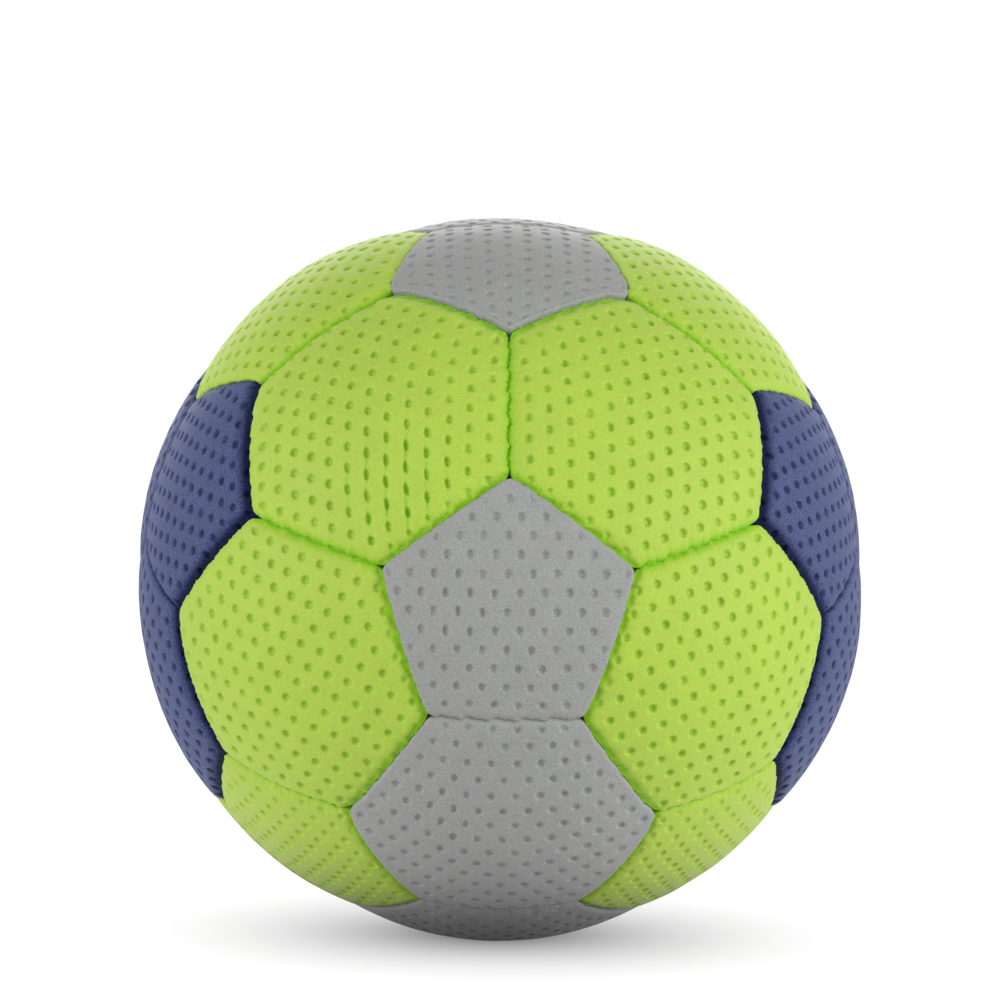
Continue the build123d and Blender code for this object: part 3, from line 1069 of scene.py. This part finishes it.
def cloth_skin():
    """Build the shader group for woven cloth: yarns that pass over and under each other."""
    w, given = start_tree("cloth skin", "ShaderNodeTree", [("Colour", "Color")], tuple(weave))
    x, _, z = w.parts(w.scaled(w.place(), w.math("DIVIDE", pi, given["Yarn Gap"])))
    warp, weft = w.math("SINE", x), w.math("SINE", z)
    over = w.ramp(w.times(warp, weft), *over_shares)
    warp_height, weft_height = w.math("ABSOLUTE", warp), w.math("ABSOLUTE", weft)
    yarn = w.line(over, w.less(warp_height, weft_height), weft_height)
    # Darker where the yarn lies low: painted shade between the yarns
    bright = w.line(yarn, *cloth_bright_shares)
    rough = w.line(yarn, *cloth_rough_shares)
    height = w.times(yarn, given["Yarn Height"])
    return end_skin(w, Colour=w.scaled(given["Colour"], bright), Height=height, Roughness=rough)


def thread_skin():
    """Build the shader group for twisted thread: strands that wind round each stitch, with painted shade
    between the strands.
    """
    w, given = start_tree("thread skin", "ShaderNodeTree", [], ("Twist", "Strand Height"))
    x, y, z = w.parts(w.kept("stitch_place"))
    around = w.times(w.math("ARCTAN2", y, x), strand_count)
    wound = w.line(z, given["Twist"], around)
    strand = w.ramp(w.math("SINE", wound), -1.0, 1.0, 0.0, 1.0)
    # Darker where a strand lies low: painted shade between the strands
    bright = w.line(strand, *strand_bright_shares)
    rough = w.line(strand, *strand_rough_shares)
    height = w.times(strand, given["Strand Height"])
    # Colour of the thread: painted shade of the seam's groove
    tone = w.kept("stitch_tone", "Color")
    return end_skin(w, Colour=w.scaled(tone, bright), Height=height, Roughness=rough)


def new_material(name, group, feeds, settings):
    """Make a material whose colour, bump, roughness and shine come from a shader group."""
    material = bpy.data.materials.new(name)
    material.use_nodes = True
    w = Wiring(material.node_tree)
    surface = material.node_tree.nodes["Principled BSDF"]
    skin = w.add("ShaderNodeGroup", feeds, node_tree=group).outputs
    bump = w.add("ShaderNodeBump", {"Height": skin["Height"], "Distance": 1.0, "Strength": 1.0})
    results = {"Base Color": skin["Colour"], "Roughness": skin["Roughness"], "Normal": bump.outputs[0]}
    if "Shine" in skin:
        results["Specular IOR Level"] = skin["Shine"]
    for key, value in {**results, **settings}.items():
        w.feed(surface.inputs[key], value)
    return material


def opaque(colour):
    """Give a colour property as four numbers."""
    return (*colour, 1.0)


def foam_materials(colours, dimples):
    """Make the three foam materials, keyed by the record's slots."""
    group = foam_skin()
    crease_turn = atan(2 * dimples.row_gap / dimples.pitch)
    materials = {}
    for tone, (speckle_share, sheen_share, shine_share, scatter_shares) in foam_shares.items():
        feeds = {
            "Colour": opaque(getattr(colours, f"foam_{tone}")),
            "Depth Colour": opaque(getattr(colours, f"{tone}_depth")),
            **foam_grain,
            "Speckle": speckle_share,
            "Shine": shine_share,
            "Width": dimples.width,
            "Depth": dimples.depth,
            "Crease Turn": crease_turn,
            "Crease Gap": dimples.pitch * sin(crease_turn),
        }
        settings = {**foam_finish, "Sheen Weight": sheen_share, "Subsurface Radius": scatter_shares}
        materials[f"foam_{tone}"] = new_material(f"{tone} foam", group, feeds, settings)
    return materials


def dress(node, material):
    """Give a CAD node a better material."""
    slots = frame["nodes"][node].data.materials
    slots.clear()
    slots.append(material)


class HANDBALL_OT_foam_panels(bpy.types.Operator):
    """Build the thirty-two dimpled foam panels in place of their plain solids"""

    bl_idname = "handball.foam_panels"
    bl_label = "Foam Panels"

    def execute(self, context):
        scene = context.scene
        cover, dimples = scene.handball_cover, scene.handball_dimples
        tones = panel_tones()
        materials = foam_materials(scene.handball_colours, dimples)
        tree = dimple_tree()
        shells = {kind: PanelShell(cover, kind) for kind in side_counts}
        valve_shell = PanelShell(cover, "pentagon", hole=True)
        places = panel_places()
        neighbours = panel_neighbours(places)
        numbers = {node: number for number, (node, _, _) in enumerate(places)}
        for seed, (node, kind, axes) in enumerate(places):
            shell = valve_shell if node == valve_panel else shells[kind]
            sides = [panel_edge(node, other, tones) for other in neighbours[node]]
            leans = side_leans(node, neighbours[node], tones)
            seams = [(seed, numbers[other]) for other in neighbours[node]]
            points = shell.shape(axes, sides, leans, seams, seed)
            attributes = {
                "flat_place": shell.spread,
                "edge_gap": shell.gap,
                "edge_drop": shell.edge_drops,
            }
            piece = new_piece(node + "_foam", points, shell.triangles, attributes)
            values = self.dimple_values(dimples, node, kind, tones[node], seed)
            slot = f"foam_{tones[node]}"
            grow(piece, tree, {**values, "Material": materials[slot]})
            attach(piece, "root")
            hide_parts(node)
        return {"FINISHED"}

    def dimple_values(self, dimples, node, kind, tone, seed):
        """Set the lattice of one panel and the patch where its dimples are pinched."""
        side_pentagon = kind == "pentagon" and "side" in node
        place, slit_turn, reach, amount = pinches.get(node, no_pinch)
        depth_share = depth_shares[tone] * faint_shares.get(node, 1.0)
        return {
            "Pitch": dimples.side_pitch if side_pentagon else dimples.pitch,
            "Row Gap": dimples.side_row_gap if side_pentagon else dimples.row_gap,
            "Lattice Turn": pi / 2 if kind == "pentagon" and not side_pentagon else 0.0,
            "Lean": side_lattice_lean if side_pentagon else 0.0,
            "Width": dimples.width,
            "Depth": dimples.depth * depth_share,
            "Wobble": dimples.wobble,
            "Swell": dimples.swell,
            "Pinch Place": (*place, 0.0),
            "Pinch Turn": slit_turn,
            "Pinch Reach": reach,
            "Pinch": amount,
            "Seed": float(seed),
        }


class HANDBALL_OT_seam_thread(bpy.types.Operator):
    """Sew the thread along the ninety seams"""

    bl_idname = "handball.seam_thread"
    bl_label = "Seam Thread"

    def execute(self, context):
        scene = context.scene
        cover, thread = scene.handball_cover, scene.handball_thread
        shells = {kind: PanelShell(cover, kind) for kind in side_counts}
        places, tones = panel_places(), panel_tones()
        neighbours = panel_neighbours(places)
        count = int(cover.sewn_length / cover.stitch_pitch)
        along = (np.arange(count) - (count - 1) / 2) * cover.stitch_pitch
        points, runs, outs, stitch_tones = [], [], [], []
        for node, kind, axes in places:
            leans = side_leans(node, neighbours[node], tones)
            for number, other in enumerate(neighbours[node]):
                if node > other:
                    continue
                pairs = ((node, other), (other, node))
                groove = max(groove_depth(panel_edge(*pair, tones)) for pair in pairs)
                radius, out, beside, across = shells[kind].seam_line(axes, number, leans[number][0], along)
                points.append(out * (radius - groove - thread.bury)[:, None])
                run = cos(thread.slant) * beside + sin(thread.slant) * across
                runs.append(np.broadcast_to(run, out.shape))
                outs.append(out)
                # The thread takes the mean of its two panels' depth colours, the painted shade of the groove
                # it lies in
                depths = [getattr(scene.handball_colours, f"{tones[side]}_depth") for side in (node, other)]
                stitch_tones.append(np.broadcast_to(np.mean(depths, axis=0), out.shape))
        attributes = {"stitch_run": runs, "stitch_out": outs, "stitch_tone": stitch_tones}
        attributes = {name: np.concatenate(rows) for name, rows in attributes.items()}
        piece = new_piece("seam_thread", np.concatenate(points), np.empty((0, 3), int), attributes)
        feeds = {"Twist": thread.twist, "Strand Height": thread.strand_height}
        values = {
            "Length": thread.length,
            "Thickness": thread.thickness,
            "Unevenness": thread.unevenness,
            "Seed": stitch_seed,
            "Material": new_material("seam thread", thread_skin(), feeds, {}),
        }
        grow(piece, stitch_tree(), values)
        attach(piece, "root")
        return {"FINISHED"}


class HANDBALL_OT_inner_layers(bpy.types.Operator):
    """Finish the linings, the bladder and the valve"""

    bl_idname = "handball.inner_layers"
    bl_label = "Linings, Bladder and Valve"

    def execute(self, context):
        colours = context.scene.handball_colours
        feeds = {"Colour": opaque(colours.cloth), **weave}
        cloth = new_material("lining cloth", cloth_skin(), feeds, {})
        for node in ("pentagon_linings", "hexagon_linings"):
            dress(node, cloth)
        skin = rubber_skin()
        for node, (tone, roughness) in rubber_shares.items():
            feeds = {"Colour": opaque(getattr(colours, tone)), **rubber_grain, "Roughness": roughness}
            dress(node, new_material(f"{tone} rubber", skin, feeds, {}))
        return {"FINISHED"}


class HANDBALL_OT_stage(bpy.types.Operator):
    """Set up the floor, the world, the softboxes and the camera"""

    bl_idname = "handball.stage"
    bl_label = "Stage"

    def execute(self, context):
        stage = context.scene.handball_stage
        context.scene.view_settings.view_transform = "Standard"
        self.add_floor(stage)
        self.add_world(context.scene, stage.fill)
        for side, (place, size) in softboxes.items():
            self.add_softbox(f"{side} softbox", getattr(stage, f"{side}_power"), place, size)
        self.add_camera(context.scene, stage)
        return {"FINISHED"}

    def add_floor(self, stage):
        """Lay a white floor under the ball, with a painted contact shadow round it and a faint real one, and
        a glow that lights the ball from below, painted dark near the ball.
        """
        left, right, level = -floor_half, floor_half, cad_box[0].z
        corners = [(left, left, level), (right, left, level), (right, right, level), (left, right, level)]
        floor = new_piece("floor", np.array(corners), np.array([(0, 1, 2, 3)]), {})
        material = bpy.data.materials.new("white floor")
        w = bare_wiring(material)
        seen, straight = w.seen()
        x, y, _ = w.parts(w.place())
        # Painted contact shadow in the white that the camera sees
        away = w.vector("LENGTH", w.joined(x, w.times(y, shadow_stretch)))
        short = w.math("MAXIMUM", w.less(1.0, w.math("DIVIDE", away, shadow_reach)), 0.0)
        shown = w.less(1.0, w.times(short, short))
        # The table's glow is dark near the ball: a painted shadow in the light it throws up
        lit = w.vector("LENGTH", w.joined(x, w.times(y, table_stretch)))
        table = w.ramp(lit, *table_edge, 0.0, stage.table_glow)
        hidden = w.less(1.0, seen)
        lift = w.math("ADD", w.times(seen, shown), w.times(hidden, table))
        matt = w.add("ShaderNodeBsdfDiffuse", {"Color": w.scaled(floor_tone, straight)}).outputs[0]
        glow = w.add("ShaderNodeEmission", {"Strength": lift}).outputs[0]
        both = w.add("ShaderNodeAddShader", {0: matt, 1: glow}).outputs[0]
        w.add("ShaderNodeOutputMaterial", {"Surface": both})
        floor.data.materials.append(material)

    def add_world(self, scene, fill):
        """Light the scene evenly, and show white behind it."""
        world = bpy.data.worlds.new("studio")
        scene.world = world
        w = bare_wiring(world)
        strength = w.line(w.seen()[0], 1.0 - fill, fill)
        back = w.add("ShaderNodeBackground", {"Color": opaque((1.0, 1.0, 1.0)), "Strength": strength})
        w.add("ShaderNodeOutputWorld", {"Surface": back.outputs[0]})

    def add_softbox(self, name, watts, place, size):
        """Hang a softbox that faces the ball."""
        lamp = bpy.data.lights.new(name, "AREA")
        lamp.shape = "RECTANGLE"
        lamp.size, lamp.size_y = size
        lamp.energy = watts
        holder = add_object(name, lamp)
        holder.location = place
        holder.rotation_euler = Vector(place).to_track_quat("Z", "Y").to_euler()

    def add_camera(self, scene, stage):
        """Stand the camera where the photograph was taken from."""
        camera = bpy.data.cameras.new("camera")
        camera.lens = stage.lens
        holder = add_object("camera", camera)
        level = cos(stage.elevation)
        back = Vector((sin(stage.azimuth) * level, -cos(stage.azimuth) * level, sin(stage.elevation)))
        right = Vector((cos(stage.azimuth), sin(stage.azimuth), 0.0))
        facing = Matrix((right, back.cross(right), back)).transposed().to_4x4()
        aimed = Matrix.Rotation(stage.aim_up, 4, "X") @ Matrix.Rotation(-stage.aim_right, 4, "Y")
        rolled = Matrix.Rotation(stage.roll, 4, "Z")
        holder.matrix_world = Matrix.Translation(back * stage.distance) @ facing @ rolled @ aimed
        scene.camera = holder


class HANDBALL_PT_tools(bpy.types.Panel):
    """Lists the steps that build the handball"""

    bl_label = "Handball"
    bl_space_type = "VIEW_3D"
    bl_region_type = "UI"
    bl_category = "Handball"

    def draw(self, context):
        for step in steps:
            self.layout.operator(step.bl_idname)


groups = {
    "handball_cover": HandballCover,
    "handball_dimples": HandballDimples,
    "handball_thread": HandballThread,
    "handball_colours": HandballColours,
    "handball_stage": HandballStage,
}
steps = (HANDBALL_OT_foam_panels, HANDBALL_OT_seam_thread, HANDBALL_OT_inner_layers, HANDBALL_OT_stage)
classes = (*groups.values(), *steps, HANDBALL_PT_tools)


def register():
    """Register the classes and hang the properties on the scene."""
    for item in classes:
        bpy.utils.register_class(item)
    for name, group in groups.items():
        setattr(bpy.types.Scene, name, bpy.props.PointerProperty(type=group))


def unregister():
    """Take the properties and classes away again."""
    for name in groups:
        delattr(bpy.types.Scene, name)
    for item in reversed(classes):
        bpy.utils.unregister_class(item)


def main():
    """Build the ball and its stage in order."""
    register()
    bpy.ops.handball.foam_panels()
    bpy.ops.handball.seam_thread()
    bpy.ops.handball.inner_layers()
    bpy.ops.handball.stage()


if __name__ == "__main__":
    main()
